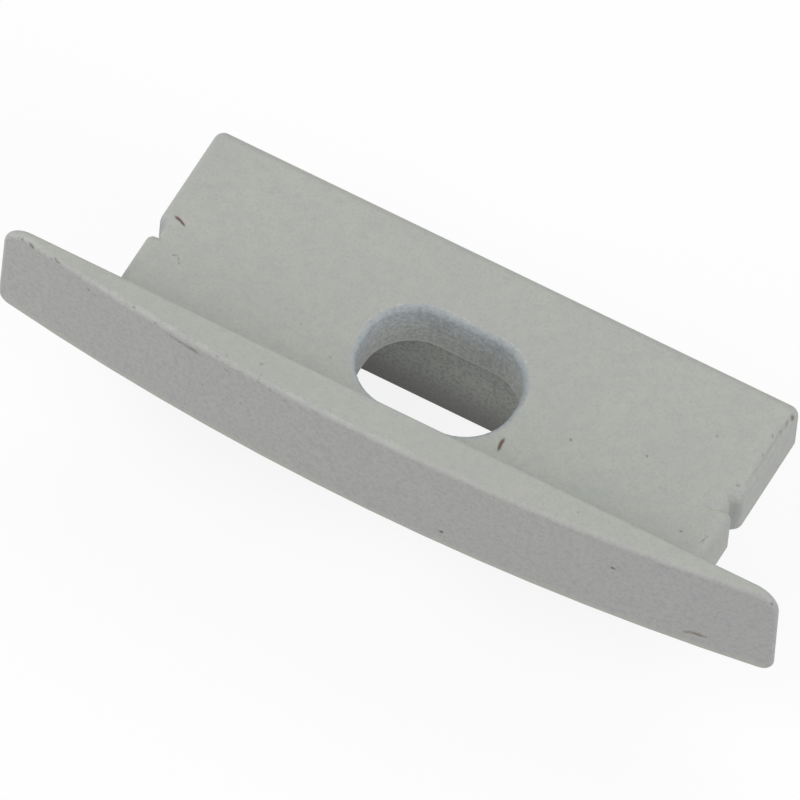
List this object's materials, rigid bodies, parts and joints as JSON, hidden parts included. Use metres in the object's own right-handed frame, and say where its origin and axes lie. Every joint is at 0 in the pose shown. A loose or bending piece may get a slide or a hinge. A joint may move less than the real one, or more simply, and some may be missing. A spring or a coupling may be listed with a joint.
{
  "type": "profile end cap",
  "caption": "End cap for a recessed light profile: a flat plate with a cable slot, a bowed cover flange along one edge and a U-shaped plug behind.",
  "frame": {"origin": "on the flat seat that bears on the profile's cut end, in the plane of symmetry, at the back of the flange", "axes": "+X along the flange, +Y from the flange towards the plate's rear edge, +Z away from the profile; the plug hangs below the seat"},
  "size_m": [0.025, 0.0084, 0.0071],
  "materials": {
    "silver_grey_plastic": "matt silver-grey, fine-grained"
  },
  "bodies": {
    "root": {"end_cap": "silver_grey_plastic"}
  },
  "joints": []
}
